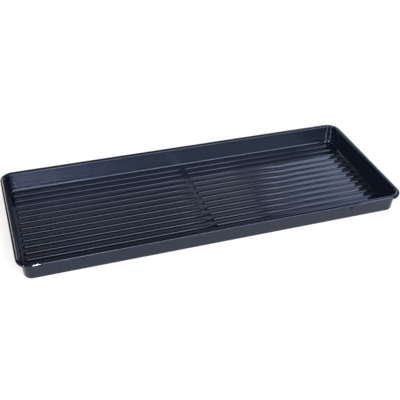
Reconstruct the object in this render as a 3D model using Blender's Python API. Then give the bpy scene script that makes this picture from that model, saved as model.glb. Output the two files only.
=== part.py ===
"""Long shallow drip tray for pots and grow bags, in glossy black plastic.

The real tray is one moulding of even thickness. It is modelled here as the zones of that moulding: the
ribbed floor, the straight walls and rounded corners, the rim with its turned-down lip, and the small fins
under the rim. Each zone is a closed body of its own, with a narrow seam to its neighbours.

Metres, +Z up. The origin is on the ground under the middle of the tray, +X runs along its length.
"""
from math import atan2, cos, pi, radians, sin, sqrt, tan

import bmesh
import bpy

# Overall sizes of the tray, over the rim
LENGTH = 1.000
WIDTH = 0.400
HEIGHT = 0.055

# Thickness of the plastic, the same all over the moulding
WALL = 0.0022

# Rim: a flat flange round the top of the wall, turned down into a lip at its outer edge
RIM_WIDTH = 0.013            # outer face of the lip to the inner face of the wall
LIP_DEPTH = 0.0075           # top of the rim to the lower edge of the lip
RIM_CORNER_RADIUS = 0.035    # outer corner of the rim, seen from above
RIM_EDGE_RADIUS = 0.0020     # rounding along the outer and inner top edges

# Wall: leans outwards from its foot, and runs into the floor in a wide rounding
FOOT_INSET = 0.0147          # outer face of the lip to the foot of the wall, measured on the ground
FOOT_RADIUS = 0.009          # outer rounding between wall and floor

# Beads: raised ribs along the floor, hollow underneath, in two halves with a clear way across at mid-length
BEAD_PITCH = 0.0248
BEAD_WIDTH = 0.011
BEAD_HEIGHT = 0.0025
CROSS_WAY = 0.010            # clear floor between the two halves of a bead
BEAD_END_LAND = 0.001        # clear floor between a bead's end and the edge of the floor panel
BEAD_SIDE_LAND = 0.008       # least clear floor between the outermost bead and the edge of the floor panel

# Fins: small upright webs between wall and lip, which stop nested trays from jamming
FIN_FROM_END = 0.150         # end of the rim to the middle of the fin
FIN_THICKNESS = 0.002
FIN_DEPTH = 0.0185           # top of the rim to the lower tip of the fin
FIN_CHAMFER = 0.004          # slope at the fin's lower outer corner

# Seam between neighbouring zones
SEAM = 0.0003

# How finely round shapes are divided
CORNER_STEPS = 8
FOOT_STEPS = 5
EDGE_STEPS = 3
BEAD_SIDES = 16
BEAD_END_STEPS = 4
BALL_END_TURN = radians(72)  # how far round a bead's ball end is carried before its small flat cap
SHARP_ANGLE = radians(35)    # edges sharper than this stay crisp
SAME_POINT = 1e-6            # points closer than this are one point

# Glossy black plastic with a slate tint
PLASTIC_COLOUR = (0.012, 0.014, 0.020, 1.0)
PLASTIC_ROUGHNESS = 0.18

# The rounded corners of every zone share these centres, in plan
centre_x = LENGTH / 2 - RIM_CORNER_RADIUS
centre_y = WIDTH / 2 - RIM_CORNER_RADIUS

# Angle by which the wall leans outwards, and the inset at which the rounding at its foot meets the floor
lean = atan2(FOOT_INSET - (RIM_WIDTH - WALL), HEIGHT)
floor_inset = FOOT_INSET + FOOT_RADIUS / tan((pi / 2 + lean) / 2)

# Top of the wall, under the flange
wall_top = HEIGHT - WALL - SEAM


def wall_outer_inset(height):
    """Inset of the wall's outer face from the outer face of the lip, at a height above the ground."""
    return FOOT_INSET - height * tan(lean)


def arc(centre, radius, start, end, steps):
    """Points (inset, height) along an arc. Angles are from straight down, turning outwards, in radians."""
    points = []
    for i in range(steps + 1):
        angle = start + (end - start) * i / steps
        points.append((centre[0] - radius * sin(angle), centre[1] - radius * cos(angle)))
    return points


def wall_section():
    """Outline (inset, height) of the wall and the rounding at its foot."""
    centre = (floor_inset, FOOT_RADIUS)
    outer_top = wall_outer_inset(wall_top)
    outline = arc(centre, FOOT_RADIUS, 0.0, pi / 2 - lean, FOOT_STEPS)
    outline.append((outer_top, wall_top))
    outline.append((outer_top + WALL / cos(lean), wall_top))
    outline += arc(centre, FOOT_RADIUS - WALL, pi / 2 - lean, 0.0, FOOT_STEPS)
    return outline


def rim_section():
    """Outline (inset, height) of the flange and its turned-down lip."""
    edge = min(RIM_EDGE_RADIUS, WALL)
    outer_centre = (edge, HEIGHT - edge)
    inner_centre = (RIM_WIDTH - edge, HEIGHT - edge)
    outline = [(WALL, HEIGHT - LIP_DEPTH), (0.0, HEIGHT - LIP_DEPTH)]
    outline += arc(outer_centre, edge, pi / 2, pi, EDGE_STEPS)
    outline += arc(inner_centre, edge, pi, 3 * pi / 2, EDGE_STEPS)
    outline += [(RIM_WIDTH, HEIGHT - WALL), (WALL, HEIGHT - WALL)]
    return remove_doubled_points(outline)


def remove_doubled_points(outline):
    """The outline without doubled points, which come where a rounding takes the whole thickness."""
    kept = []
    for point in outline:
        if not kept or max(abs(point[0] - kept[-1][0]), abs(point[1] - kept[-1][1])) > SAME_POINT:
            kept.append(point)
    return kept


def skin(rings):
    """Closed mesh through a row of outlines with the same number of points."""
    body = bmesh.new()
    loops = [[body.verts.new(point) for point in ring] for ring in rings]
    for first, second in zip(loops, loops[1:]):
        for i in range(len(first)):
            body.faces.new((first[i - 1], first[i], second[i], second[i - 1]))
    body.faces.new(loops[0])
    body.faces.new(loops[-1])
    bmesh.ops.recalc_face_normals(body, faces=body.faces)
    return body


def straight_run(section, length):
    """The section drawn out along X, with +Y outwards and y = 0 on the line through the corner centres."""
    rings = []
    for x in (-length / 2, length / 2):
        rings.append([(x, RIM_CORNER_RADIUS - inset, height) for inset, height in section])
    return skin(rings)


def corner_turn(section):
    """The section turned through a quarter circle about Z, from +X to +Y."""
    rings = []
    for i in range(CORNER_STEPS + 1):
        angle = pi / 2 * i / CORNER_STEPS
        ring = []
        for inset, height in section:
            radius = RIM_CORNER_RADIUS - inset
            ring.append((radius * cos(angle), radius * sin(angle), height))
        rings.append(ring)
    return skin(rings)


def to_mesh(body, name):
    """Blender mesh from a bmesh, shaded smooth except over sharp edges, with one slot for its plastic."""
    mesh = bpy.data.meshes.new(name)
    body.to_mesh(mesh)
    body.free()
    mesh.shade_smooth()
    mesh.set_sharp_from_angle(angle=SHARP_ANGLE)
    mesh.materials.append(None)
    return mesh


def black_plastic(name):
    """The tray's plastic, as one material for each zone."""
    material = bpy.data.materials.new(name + "_plastic")
    material.use_nodes = True
    shader = material.node_tree.nodes["Principled BSDF"]
    shader.inputs["Base Color"].default_value = PLASTIC_COLOUR
    shader.inputs["Roughness"].default_value = PLASTIC_ROUGHNESS
    shader.inputs["Metallic"].default_value = 0.0
    return material


def add_zone(name, mesh, location=(0.0, 0.0, 0.0), turn=0.0):
    """Named object for one zone of the moulding, placed by location and turned about Z."""
    zone = bpy.data.objects.new(name, mesh)
    zone.location = location
    zone.rotation_euler = (0.0, 0.0, turn)
    zone.parent = tray
    bpy.context.scene.collection.objects.link(zone)
    zone.material_slots[0].link = 'OBJECT'
    zone.material_slots[0].material = black_plastic(name)
    return zone


def add_guide(name, body):
    """Body that only shapes another one: shown as wires and never rendered."""
    guide = bpy.data.objects.new(name, to_mesh(body, name))
    guide.hide_render = True
    guide.display_type = 'WIRE'
    guide.parent = tray
    bpy.context.scene.collection.objects.link(guide)
    return guide


def combine(zone, guide, operation):
    """Boolean modifier on a zone, with the exact solver."""
    modifier = zone.modifiers.new(guide.name, 'BOOLEAN')
    modifier.object = guide
    modifier.operation = operation
    modifier.solver = 'EXACT'


# Start from an empty scene, with one empty that carries the whole tray
for old in list(bpy.data.objects):
    bpy.data.objects.remove(old, do_unlink=True)
tray = bpy.data.objects.new("tray", None)
bpy.context.scene.collection.objects.link(tray)


# Floor panel: a flat plate with rounded corners, which ends where the rounding at the foot of the wall starts
panel_radius = RIM_CORNER_RADIUS - floor_inset - SEAM
panel_outline = []
for quarter, (side_x, side_y) in enumerate(((1, 1), (-1, 1), (-1, -1), (1, -1))):
    for i in range(CORNER_STEPS + 1):
        angle = pi / 2 * (quarter + i / CORNER_STEPS)
        x = side_x * centre_x + panel_radius * cos(angle)
        y = side_y * centre_y + panel_radius * sin(angle)
        panel_outline.append((x, y))
panel = skin([[(x, y, z) for x, y in panel_outline] for z in (0.0, WALL)])
floor_panel = add_zone("floor_panel", to_mesh(panel, "floor_panel"))

# Each half bead is the top of a long round bar with ball ends, sunk in the floor. The radius follows from the
# bead's width and height, and a thinner bar about the same axis hollows it from below.
bead_radius = ((BEAD_WIDTH / 2) ** 2 + BEAD_HEIGHT ** 2) / (2 * BEAD_HEIGHT)
bead_axis = WALL + BEAD_HEIGHT - bead_radius
bead_start = CROSS_WAY / 2 + BEAD_WIDTH / 2
bead_end = centre_x + panel_radius - BEAD_END_LAND - BEAD_WIDTH / 2
bead_room = 2 * (centre_y + panel_radius - BEAD_SIDE_LAND) - BEAD_WIDTH
bead_count = int(bead_room / BEAD_PITCH) + 1
bead_rows = [(k - (bead_count - 1) / 2) * BEAD_PITCH for k in range(bead_count)]


def bead_bar(radius, side, y):
    """Rings of a round bar with ball ends, for the half bead on one side of the middle."""
    rings = []
    for centre, first, last in ((bead_start, -BALL_END_TURN, 0.0), (bead_end, 0.0, BALL_END_TURN)):
        for i in range(BEAD_END_STEPS + 1):
            tilt = first + (last - first) * i / BEAD_END_STEPS
            ring = []
            for j in range(BEAD_SIDES):
                angle = 2 * pi * j / BEAD_SIDES
                across = radius * cos(tilt) * sin(angle)
                up = radius * cos(tilt) * cos(angle)
                ring.append((side * (centre + radius * sin(tilt)), y + across, bead_axis + up))
            rings.append(ring)
    return rings


def bead_bars(name, radius):
    """Guide made of one bar for each half bead."""
    bars = bmesh.new()
    for y in bead_rows:
        for side in (-1, 1):
            bar = skin(bead_bar(radius, side, y))
            piece = bpy.data.meshes.new("bar")
            bar.to_mesh(piece)
            bar.free()
            bars.from_mesh(piece)
            bpy.data.meshes.remove(piece)
    return add_guide(name, bars)


below_ground = bmesh.new()
bmesh.ops.create_cube(below_ground, size=1.0)
bmesh.ops.scale(below_ground, vec=(LENGTH * 2, WIDTH * 2, HEIGHT), verts=below_ground.verts)
bmesh.ops.translate(below_ground, vec=(0.0, 0.0, -HEIGHT / 2), verts=below_ground.verts)
ground_cut = add_guide("ground_cut", below_ground)

combine(floor_panel, bead_bars("bead_tops", bead_radius), 'UNION')
combine(floor_panel, bead_bars("bead_hollows", bead_radius - WALL), 'DIFFERENCE')
combine(floor_panel, ground_cut, 'DIFFERENCE')


# Walls and rim: the two sections drawn out along the four sides, and turned round the four corners
long_run = 2 * centre_x - 2 * SEAM
short_run = 2 * centre_y - 2 * SEAM
SIDES = (
    ("back", (0.0, centre_y, 0.0), 0.0, long_run),
    ("left", (-centre_x, 0.0, 0.0), pi / 2, short_run),
    ("front", (0.0, -centre_y, 0.0), pi, long_run),
    ("right", (centre_x, 0.0, 0.0), -pi / 2, short_run),
)
CORNERS = (
    ("back_right", (centre_x, centre_y, 0.0), 0.0),
    ("back_left", (-centre_x, centre_y, 0.0), pi / 2),
    ("front_left", (-centre_x, -centre_y, 0.0), pi),
    ("front_right", (centre_x, -centre_y, 0.0), -pi / 2),
)

for section, side_ending, corner_ending in (
    (wall_section(), "_wall", "_corner"),
    (rim_section(), "_rim", "_rim_corner"),
):
    for side, location, turn, run in SIDES:
        side_mesh = to_mesh(straight_run(section, run), side + side_ending)
        add_zone(side + side_ending, side_mesh, location, turn)
    corner_mesh = to_mesh(corner_turn(section), "quarter" + corner_ending)
    for corner, location, turn in CORNERS:
        add_zone(corner + corner_ending, corner_mesh, location, turn)


# Fins: each fills the channel between lip and wall under the flange, and reaches a little below the lip
fin_x = LENGTH / 2 - FIN_FROM_END
fin_top = HEIGHT - WALL - SEAM
fin_foot = HEIGHT - FIN_DEPTH
fin_outer = WALL + SEAM
fin_seat = SEAM / cos(lean)
fin_section = [
    (fin_outer, fin_top),
    (wall_outer_inset(fin_top) - fin_seat, fin_top),
    (wall_outer_inset(fin_foot) - fin_seat, fin_foot),
    (fin_outer + FIN_CHAMFER, fin_foot),
    (fin_outer, fin_foot + FIN_CHAMFER),
]
fin_mesh = to_mesh(straight_run(fin_section, FIN_THICKNESS), "fin")
for edge, side_y, turn in (("front", -1, pi), ("back", 1, 0.0)):
    for end, side_x in (("left", -1), ("right", 1)):
        location = (side_x * fin_x, side_y * centre_y, 0.0)
        add_zone(edge + "_" + end + "_fin", fin_mesh, location, turn)
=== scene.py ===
"""Looks of the drip tray: one injection moulding in glossy black polypropylene, on a plain white floor.

The tray is drawn here as the seamless moulding that it is. Its outer sizes, its rim and the places of its fins are
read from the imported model, which splits it into zones. Its ribs' rows, thickness and roundings are given here.
Metres, +Z up, +X along the tray.
"""

from math import atan2, cos, pi, radians, sin, tan

import bmesh
import bpy
from mathutils import Matrix, Vector


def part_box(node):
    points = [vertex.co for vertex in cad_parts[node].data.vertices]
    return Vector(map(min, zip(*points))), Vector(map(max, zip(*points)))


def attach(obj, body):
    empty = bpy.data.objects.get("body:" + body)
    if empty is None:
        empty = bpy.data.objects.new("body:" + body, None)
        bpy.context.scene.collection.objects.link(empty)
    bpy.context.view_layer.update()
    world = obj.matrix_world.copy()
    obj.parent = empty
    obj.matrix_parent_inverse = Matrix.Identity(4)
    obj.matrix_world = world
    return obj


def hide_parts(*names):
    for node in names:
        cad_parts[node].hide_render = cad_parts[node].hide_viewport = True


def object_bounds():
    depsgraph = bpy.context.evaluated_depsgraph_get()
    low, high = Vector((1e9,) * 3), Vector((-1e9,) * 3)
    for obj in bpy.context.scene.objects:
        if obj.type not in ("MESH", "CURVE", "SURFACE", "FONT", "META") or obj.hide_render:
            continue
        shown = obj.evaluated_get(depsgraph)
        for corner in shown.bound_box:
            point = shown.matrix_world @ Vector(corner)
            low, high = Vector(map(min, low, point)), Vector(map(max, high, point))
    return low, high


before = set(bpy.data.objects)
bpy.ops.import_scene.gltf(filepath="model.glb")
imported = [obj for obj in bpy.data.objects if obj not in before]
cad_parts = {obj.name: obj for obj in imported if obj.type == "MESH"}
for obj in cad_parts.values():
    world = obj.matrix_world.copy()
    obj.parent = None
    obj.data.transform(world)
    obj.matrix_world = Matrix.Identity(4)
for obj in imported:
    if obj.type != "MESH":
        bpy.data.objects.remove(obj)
cad_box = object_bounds()


# Ribbed floor. The real floor is a flat panel with long raised ribs in two halves and a clear way across them at
# mid-length, in black polypropylene. It is moulded hollow under the ribs, so that the plastic is as thick there
# as anywhere else.
high = cad_box[1]
thickness = 0.0022
corner_low, corner_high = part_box("back_right_rim_corner")
rim_corner = corner_high.x - corner_low.x
centre_x = high.x - rim_corner
centre_y = high.y - rim_corner
floor_inset = high.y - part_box("back_wall")[0].y

rib_rows = 14
rib_pitch = 0.0248
rib_width = 0.0110
rib_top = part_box("floor_panel")[1].z
rib_foot_radius = 0.0010
rib_slope = 2 * atan2(2 * (rib_top - thickness), rib_width)
rib_crown_radius = rib_width / 2 / sin(rib_slope) - rib_foot_radius
clear_way = 0.010
rib_end_land = 0.001
rib_end_steps = 14
rib_crown_steps = 8
rib_foot_steps = 4


def rib_section():
    """Half section of a rib, from its foot to near its top: (distance from its middle line, height, slope)."""
    points = []
    for i in range(rib_foot_steps + 1):
        slope = rib_slope * i / rib_foot_steps
        out = rib_width / 2 - rib_foot_radius * sin(slope)
        points.append((out, thickness + rib_foot_radius * (1 - cos(slope)), slope))
    for i in range(1, rib_crown_steps):
        slope = rib_slope * (1 - i / rib_crown_steps)
        points.append((rib_crown_radius * sin(slope), rib_top - rib_crown_radius * (1 - cos(slope)), slope))
    return points


def long_round(start, end, y, radius, height):
    """Ring of points round the segment from start to end at y: two straight sides and two half circles."""
    ring = []
    for middle, first in ((end, -pi / 2), (start, pi / 2)):
        for i in range(rib_end_steps + 1):
            angle = first + pi * i / rib_end_steps
            ring.append((middle + radius * cos(angle), y + radius * sin(angle), height))
    return ring


def ring_of(points):
    """New vertices of the moulding, joined into a closed ring."""
    return [moulding.verts.new(point) for point in points]


def bridge(first, second):
    """Faces between two rings with the same number of vertices."""
    for i in range(len(first)):
        moulding.faces.new((first[i - 1], first[i], second[i], second[i - 1]))


def land(outer, inner_rings):
    """Flat faces between an outer ring and the rings inside it."""
    edges = []
    for ring in [outer] + inner_rings:
        for i in range(len(ring)):
            edge = moulding.edges.get((ring[i - 1], ring[i]))
            edges.append(edge or moulding.edges.new((ring[i - 1], ring[i])))
    bmesh.ops.triangle_fill(moulding, use_beauty=True, edges=edges)


corner_steps = 16
side_spacing = 0.045
corner_sides = ((1, 1), (-1, 1), (-1, -1), (1, -1))


def round_the_tray(inset, height):
    """Ring of points round the whole tray, at an inset from its outer face. All rings share their corner centres."""
    radius = rim_corner - inset
    ring = []
    for quarter, (side_x, side_y) in enumerate(corner_sides):
        for i in range(corner_steps + 1):
            angle = pi / 2 * (quarter + i / corner_steps)
            ring.append(Vector((side_x * centre_x + radius * cos(angle),
                                side_y * centre_y + radius * sin(angle), height)))
        next_x, next_y = corner_sides[(quarter + 1) % 4]
        start = ring[-1]
        end = Vector((next_x * centre_x + radius * cos(angle), next_y * centre_y + radius * sin(angle), height))
        pieces = round((end - start).length / side_spacing)
        for i in range(1, pieces):
            ring.append(start.lerp(end, i / pieces))
    return ring


moulding = bmesh.new()
floor_edge = ring_of(round_the_tray(floor_inset, thickness))
ground_edge = ring_of(round_the_tray(floor_inset, 0.0))

rib_feet = []
hollow_feet = []
rib_end = high.x - floor_inset - rib_end_land
for row in range(rib_rows):
    y = (row - (rib_rows - 1) / 2) * rib_pitch
    for side in (-1, 1):
        ends = sorted((side * (clear_way / 2 + rib_width / 2), side * (rib_end - rib_width / 2)))
        rib_rings = []
        hollow_rings = []
        for out, up, slope in rib_section():
            rib_rings.append(ring_of(long_round(*ends, y, out, up)))
            hollow = (out - thickness * sin(slope), up - thickness * cos(slope))
            hollow_rings.append(ring_of(long_round(*ends, y, *hollow)))
        for rings in (rib_rings, hollow_rings):
            for first, second in zip(rings, rings[1:]):
                bridge(first, second)
            moulding.faces.new(rings[-1])
        rib_feet.append(rib_rings[0])
        hollow_feet.append(hollow_rings[0])
land(floor_edge, rib_feet)
land(ground_edge, hollow_feet)


# Wall and rim. The wall leans outwards from a wide rounding at its foot, and its top is turned out into a gently
# crowned flange and down into a lip. They are one run of the same plastic, drawn as one section taken round the tray.
rim_low, rim_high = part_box("back_rim")
rim_width = rim_high.y - rim_low.y
lip_depth = rim_high.z - rim_low.z
edge_radius = 0.0024
crown_tilt = radians(24)
lip_rounding = 0.45 * thickness
foot_inset = 0.0147
foot_radius = 0.0075
inner_foot_radius = 0.0038
lean = atan2(foot_inset - (rim_width - thickness), high.z)
bend_steps = 8
lip_steps = 4
crown_under_steps = 4
edge_under_steps = 3
sharp_from = radians(50)


def bend(centre, radius, first, last, steps=bend_steps):
    """Points (inset, height) along an arc, with angles from the inward direction towards straight up."""
    points = []
    for i in range(steps + 1):
        angle = first + (last - first) * i / steps
        points.append((centre[0] + radius * cos(angle), centre[1] + radius * sin(angle)))
    return points


crown_radius = edge_radius + (rim_width / 2 - edge_radius) / sin(crown_tilt)
shoulder_height = high.z - crown_radius + (crown_radius - edge_radius) * cos(crown_tilt)
foot_centre = (foot_inset - foot_radius * tan(lean) + foot_radius / cos(lean), foot_radius)
inner_foot_height = thickness + inner_foot_radius
inner_foot_centre = (foot_inset - inner_foot_height * tan(lean) + inner_foot_height / cos(lean), inner_foot_height)
inner_edge = (rim_width - edge_radius, shoulder_height)
crown_centre = (rim_width / 2, high.z - crown_radius)
outer_edge = (edge_radius, shoulder_height)
lip_foot = high.z - lip_depth + lip_rounding

section = bend(inner_foot_centre, inner_foot_radius, -pi / 2, -pi + lean)
section += bend(inner_edge, edge_radius, lean, pi / 2 - crown_tilt)
section += bend(crown_centre, crown_radius, pi / 2 - crown_tilt, pi / 2 + crown_tilt)[1:-1]
section += bend(outer_edge, edge_radius, pi / 2 + crown_tilt, pi)
section += bend((lip_rounding, lip_foot), lip_rounding, pi, 3 * pi / 2, lip_steps)
section += bend((thickness - lip_rounding, lip_foot), lip_rounding, 3 * pi / 2, 2 * pi, lip_steps)
section += bend(outer_edge, edge_radius - thickness, pi, pi / 2 + crown_tilt, edge_under_steps)
section += bend(crown_centre, crown_radius - thickness, pi / 2 + crown_tilt, pi / 2 - crown_tilt,
                crown_under_steps)[1:-1]
section += bend(inner_edge, edge_radius - thickness, pi / 2 - crown_tilt, lean, edge_under_steps)
section += bend(foot_centre, foot_radius, -pi + lean, -pi / 2)

last_ring = floor_edge
for inset, height in section:
    next_ring = ring_of(round_the_tray(inset, height))
    bridge(last_ring, next_ring)
    last_ring = next_ring
bridge(last_ring, ground_edge)

bmesh.ops.recalc_face_normals(moulding, faces=moulding.faces)
mesh = bpy.data.meshes.new("tray_moulding")
moulding.to_mesh(mesh)
moulding.free()
mesh.shade_smooth()
mesh.set_sharp_from_angle(angle=sharp_from)
tray = bpy.data.objects.new("tray_moulding", mesh)
bpy.context.scene.collection.objects.link(tray)


def linear(colour):
    """Linear colour from an sRGB hex value."""
    channels = []
    for i in (1, 3, 5):
        value = int(colour[i:i + 2], 16) / 255
        channels.append(value / 12.92 if value <= 0.04045 else ((value + 0.055) / 1.055) ** 2.4)
    return (*channels, 1.0)


def node(tree, kind, inputs=None, **settings):
    """Adds a node with its settings. An input is a value, or the output socket that it is linked to."""
    added = tree.nodes.new(kind)
    for name, value in settings.items():
        setattr(added, name, value)
    for name, value in (inputs or {}).items():
        socket = added.inputs[name]
        if isinstance(value, bpy.types.NodeSocket):
            tree.links.new(value, socket)
        else:
            socket.default_value = value
    return added


cloud_size = 0.20
warp_length = 0.11
warp_depth = 0.0006
flow_length = 0.16
flow_width = 0.009
flow_from, flow_to = 0.3, 0.7
flow_roughness = (0.04, 0.075)
peel_size = 0.0055
peel_depth = 0.000012
satin_roughness = 0.24
straight_from, straight_to = 0.97, 0.995


def moulded_black_polypropylene():
    """Black polypropylene as it leaves a polished mould: a hard wet gloss over near black, both with a slate tint.

    The sheet is thin, so it cools a little wavy and its reflections waver. The gloss is broken by faint flow marks
    along the tray and by orange peel, whose real 1 mm grain is drawn 5.5 mm wide so that it shows. The straight walls
    are satin, as the steep faces of a mould are polished less, so that they show no mirrored ribs.
    """
    material = bpy.data.materials.new("moulded_black_polypropylene")
    material.use_nodes = True
    tree = material.node_tree
    shader = tree.nodes["Principled BSDF"]
    shader.inputs["IOR"].default_value = 1.46
    shader.inputs["Specular Tint"].default_value = linear("#c6d7ff")
    place = node(tree, "ShaderNodeTexCoord").outputs["Object"]

    # Faint clouds between two near blacks. The colour inputs of a mix are its sockets 6 and 7.
    cloud = node(tree, "ShaderNodeTexNoise", {"Vector": place, "Scale": 1 / cloud_size, "Detail": 1.0})
    tone = node(tree, "ShaderNodeMix", {0: cloud.outputs["Fac"], 6: linear("#081118"), 7: linear("#0d0f1c")},
                data_type='RGBA')
    tree.links.new(tone.outputs[2], shader.inputs["Base Color"])

    # Flow marks: noise drawn out along the tray, which makes the gloss a little sharper or softer.
    drawn_out = node(tree, "ShaderNodeMapping",
                     {"Vector": place, "Scale": (1 / flow_length, 1 / flow_width, 1 / flow_width)})
    flow = node(tree, "ShaderNodeTexNoise", {"Vector": drawn_out.outputs[0], "Scale": 1.0, "Detail": 3.0})
    gloss = node(tree, "ShaderNodeMapRange", {"Value": flow.outputs["Fac"], "From Min": flow_from, "From Max": flow_to,
                                              "To Min": flow_roughness[0], "To Max": flow_roughness[1]})

    # Satin where the surface faces almost squarely along X or Y, as only straight walls, lip and fins do.
    normal = node(tree, "ShaderNodeNewGeometry").outputs["Normal"]
    facing = node(tree, "ShaderNodeVectorMath", {0: normal}, operation='ABSOLUTE')
    along = node(tree, "ShaderNodeSeparateXYZ", {"Vector": facing.outputs[0]})
    straight = node(tree, "ShaderNodeMath", {0: along.outputs["X"], 1: along.outputs["Y"]}, operation='MAXIMUM')
    satin = node(tree, "ShaderNodeMapRange", {"Value": straight.outputs[0], "From Min": straight_from,
                                              "From Max": straight_to, "To Min": 0.0, "To Max": satin_roughness})
    finish = node(tree, "ShaderNodeMath", {0: gloss.outputs[0], 1: satin.outputs[0]}, operation='ADD')
    tree.links.new(finish.outputs[0], shader.inputs["Roughness"])

    # Long waves of the sheet, with orange peel on top of them.
    warp = node(tree, "ShaderNodeTexNoise", {"Vector": place, "Scale": 1 / warp_length, "Detail": 1.0})
    wavy = node(tree, "ShaderNodeBump", {"Height": warp.outputs["Fac"], "Distance": warp_depth})
    peel = node(tree, "ShaderNodeTexNoise", {"Vector": place, "Scale": 1 / peel_size, "Detail": 1.0})
    peeled = node(tree, "ShaderNodeBump",
                  {"Height": peel.outputs["Fac"], "Distance": peel_depth, "Normal": wavy.outputs[0]})
    tree.links.new(peeled.outputs[0], shader.inputs["Normal"])
    return material


tray.data.materials.append(moulded_black_polypropylene())
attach(tray, "root")
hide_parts(*[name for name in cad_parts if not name.endswith("_fin")])


# Fins. Two thin upright webs of the same moulding under each long rim, which stiffen the flange between the wall and
# the lip. They are moulded with the tray, so each runs a little way into the plastic that carries it.
fin_sink = 0.00015
fin_chamfer = 0.004
fin_edge_round = 0.0003
fin_sharp_from = radians(35)


def fin_outline(tip):
    """The fin's outline as points (inset, height): out under the flange, down the lip, and in to the wall."""
    top = high.z - thickness + fin_sink
    outer = thickness - fin_sink
    inner_top = foot_inset - top * tan(lean) + fin_sink
    inner_foot = foot_inset - tip * tan(lean) + fin_sink
    return [(inner_foot, tip), (inner_top, top), (outer, top), (outer, tip + fin_chamfer), (outer + fin_chamfer, tip)]


for edge_name, side_y in (("front", -1), ("back", 1)):
    for end_name in ("left", "right"):
        cad_name = edge_name + "_" + end_name + "_fin"
        fin_low, fin_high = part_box(cad_name)
        web = bmesh.new()
        outline = [(side_y * (high.y - inset), height) for inset, height in fin_outline(fin_low.z)]
        faces = [[web.verts.new((x, y, z)) for y, z in outline] for x in (fin_low.x, fin_high.x)]
        for face in faces:
            web.faces.new(face)
        for i in range(len(outline)):
            web.faces.new((faces[0][i - 1], faces[0][i], faces[1][i], faces[1][i - 1]))
        bmesh.ops.recalc_face_normals(web, faces=web.faces)
        bmesh.ops.bevel(web, geom=web.edges[:], offset=fin_edge_round, segments=2, affect='EDGES')
        fin_mesh = bpy.data.meshes.new("fin_" + edge_name + "_" + end_name)
        web.to_mesh(fin_mesh)
        web.free()
        fin_mesh.shade_smooth()
        fin_mesh.set_sharp_from_angle(angle=fin_sharp_from)
        fin_mesh.materials.append(tray.data.materials[0])
        fin = bpy.data.objects.new(fin_mesh.name, fin_mesh)
        bpy.context.scene.collection.objects.link(fin)
        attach(fin, "root")
        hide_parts(cad_name)


# Floor of the studio. Plain white paper that keeps the tray's shadow. What the camera and the plastic's gloss see of
# it is lifted to white, and it can't be seen from below, so that the tray's underside shows.
floor_size = 12.0
floor_drop = 0.0004
paper_white = 0.32
paper_lift = 0.6
floor_mesh = bpy.data.meshes.new("studio_floor")
floor_mesh.from_pydata([(x * floor_size, y * floor_size, -floor_drop)
                        for x, y in ((-1, -1), (1, -1), (1, 1), (-1, 1))], [], [(0, 1, 2, 3)])
floor = bpy.data.objects.new("studio_floor", floor_mesh)
bpy.context.scene.collection.objects.link(floor)
paper = bpy.data.materials.new("white_paper")
paper.use_nodes = True
tree = paper.node_tree
tree.nodes.clear()
path = node(tree, "ShaderNodeLightPath")
glossy_or_camera = node(tree, "ShaderNodeMath", operation='MAXIMUM',
                        inputs={0: path.outputs["Is Camera Ray"], 1: path.outputs["Is Glossy Ray"]})
seen = node(tree, "ShaderNodeMath", operation='MAXIMUM',
            inputs={0: glossy_or_camera.outputs[0], 1: path.outputs["Is Transmission Ray"]})
lift = node(tree, "ShaderNodeMath", operation='MULTIPLY', inputs={0: seen.outputs[0], 1: paper_lift})
matt = node(tree, "ShaderNodeBsdfDiffuse", inputs={"Color": (paper_white, paper_white, paper_white, 1)})
glow = node(tree, "ShaderNodeEmission", inputs={"Strength": lift.outputs[0]})
sheet = node(tree, "ShaderNodeAddShader", inputs={0: matt.outputs[0], 1: glow.outputs[0]})
clear = node(tree, "ShaderNodeBsdfTransparent")
side = node(tree, "ShaderNodeNewGeometry")
both = node(tree, "ShaderNodeMixShader",
            inputs={0: side.outputs["Backfacing"], 1: sheet.outputs[0], 2: clear.outputs[0]})
node(tree, "ShaderNodeOutputMaterial", inputs={"Surface": both.outputs[0]})
floor_mesh.materials.append(paper)


# Light. A dim room with white softboxes far off. Those in front light the walls and are mirrored in them, those
# overhead draw the lines along the ribs, and a window behind on the right makes the bright patch in the floor. The
# radiance falls off from one to the next, so that no edge of a lamp shows where the photograph has none.
room_grey = 0.03
lamp_distance = 8.0
world = bpy.data.worlds.new("studio")
bpy.context.scene.world = world
world.use_nodes = True
world.node_tree.nodes["Background"].inputs["Color"].default_value = (room_grey, room_grey, room_grey, 1)


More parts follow.
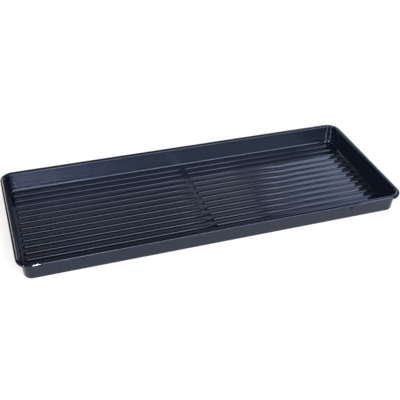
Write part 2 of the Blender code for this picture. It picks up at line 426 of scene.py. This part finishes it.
def softbox(name, azimuth, elevation, wide, tall, radiance, tint="#ffffff", fills=True):
    """Rectangular lamp that faces the tray. Angles in degrees, as the tray sees it, and azimuth 0 is behind it.

    One that doesn't fill is there for its reflection alone, and adds nothing to the light on the tray.
    """
    lamp = bpy.data.lights.new(name, 'AREA')
    lamp.shape = 'RECTANGLE'
    lamp.size = 2 * lamp_distance * tan(radians(wide / 2))
    lamp.size_y = 2 * lamp_distance * tan(radians(tall / 2))
    lamp.energy = radiance * lamp.size * lamp.size_y * pi
    lamp.color = linear(tint)[:3]
    box = bpy.data.objects.new(name, lamp)
    turn, rise = radians(azimuth), radians(elevation)
    box.location = Vector((sin(turn) * cos(rise), cos(turn) * cos(rise), sin(rise))) * lamp_distance
    box.rotation_mode = 'QUATERNION'
    box.rotation_quaternion = (-box.location).to_track_quat('-Z', 'Y')
    box.visible_camera = False
    box.visible_diffuse = fills
    bpy.context.scene.collection.objects.link(box)


# Name, azimuth, elevation, width, height, radiance, and the tint where the lamp isn't white.
softbox("streak_right", 183.5, 25, 1.5, 18, 550.0, fills=False)
softbox("streak_left", 243, 25, 1.5, 18, 450.0)
softbox("front_middle", 178, 22, 8, 20, 11.0)
softbox("front_right", 157, 27, 40, 28, 13.0)
softbox("ceiling_front", 171, 58, 28, 18, 8.0, "#fff4ec")
softbox("ceiling_middle", 127, 60, 18, 18, 2.8, "#fff4ec")
softbox("ceiling_right", 80, 69, 30, 8, 1.2)
softbox("right_high", 94, 56.5, 32, 6, 5.0)
softbox("overhead", 50, 84, 40, 10, 0.6)
softbox("window_high", 47, 38, 26, 8, 1.5, "#dde5ff")
softbox("window", 39, 28, 21, 12, 2.7, "#dde5ff")
softbox("window_side", 23, 31, 9, 14, 0.4, "#dde5ff")
softbox("back_strip", 6, 36, 38, 8, 0.5)
softbox("rim_line", 347, 34, 7, 16, 10.0, "#ffeedd")


# Camera. It stands left of the middle and looks down at the tray along the photograph's line of sight. Its place, turn
# and lens were solved from the photograph's perspective.
camera_place = Vector((-0.5144, -1.4489, 1.1040))
camera_turn = radians(19.599)
camera_pitch = radians(35.587)
camera_roll = radians(1.808)
focal_pixels = 703.0
photo_width = 400

forward = Vector((sin(camera_turn) * cos(camera_pitch), cos(camera_turn) * cos(camera_pitch), -sin(camera_pitch)))
level_right = forward.cross(Vector((0, 0, 1))).normalized()
level_up = level_right.cross(forward)
right = level_right * cos(camera_roll) + level_up * sin(camera_roll)
up = level_up * cos(camera_roll) - level_right * sin(camera_roll)
lens = bpy.data.cameras.new("camera")
lens.sensor_width = 36.0
lens.lens = focal_pixels / photo_width * lens.sensor_width
camera = bpy.data.objects.new("camera", lens)
camera.matrix_world = Matrix.Translation(camera_place) @ Matrix((right, up, -forward)).transposed().to_4x4()
bpy.context.scene.collection.objects.link(camera)
bpy.context.scene.camera = camera
bpy.context.scene.view_settings.view_transform = 'Standard'
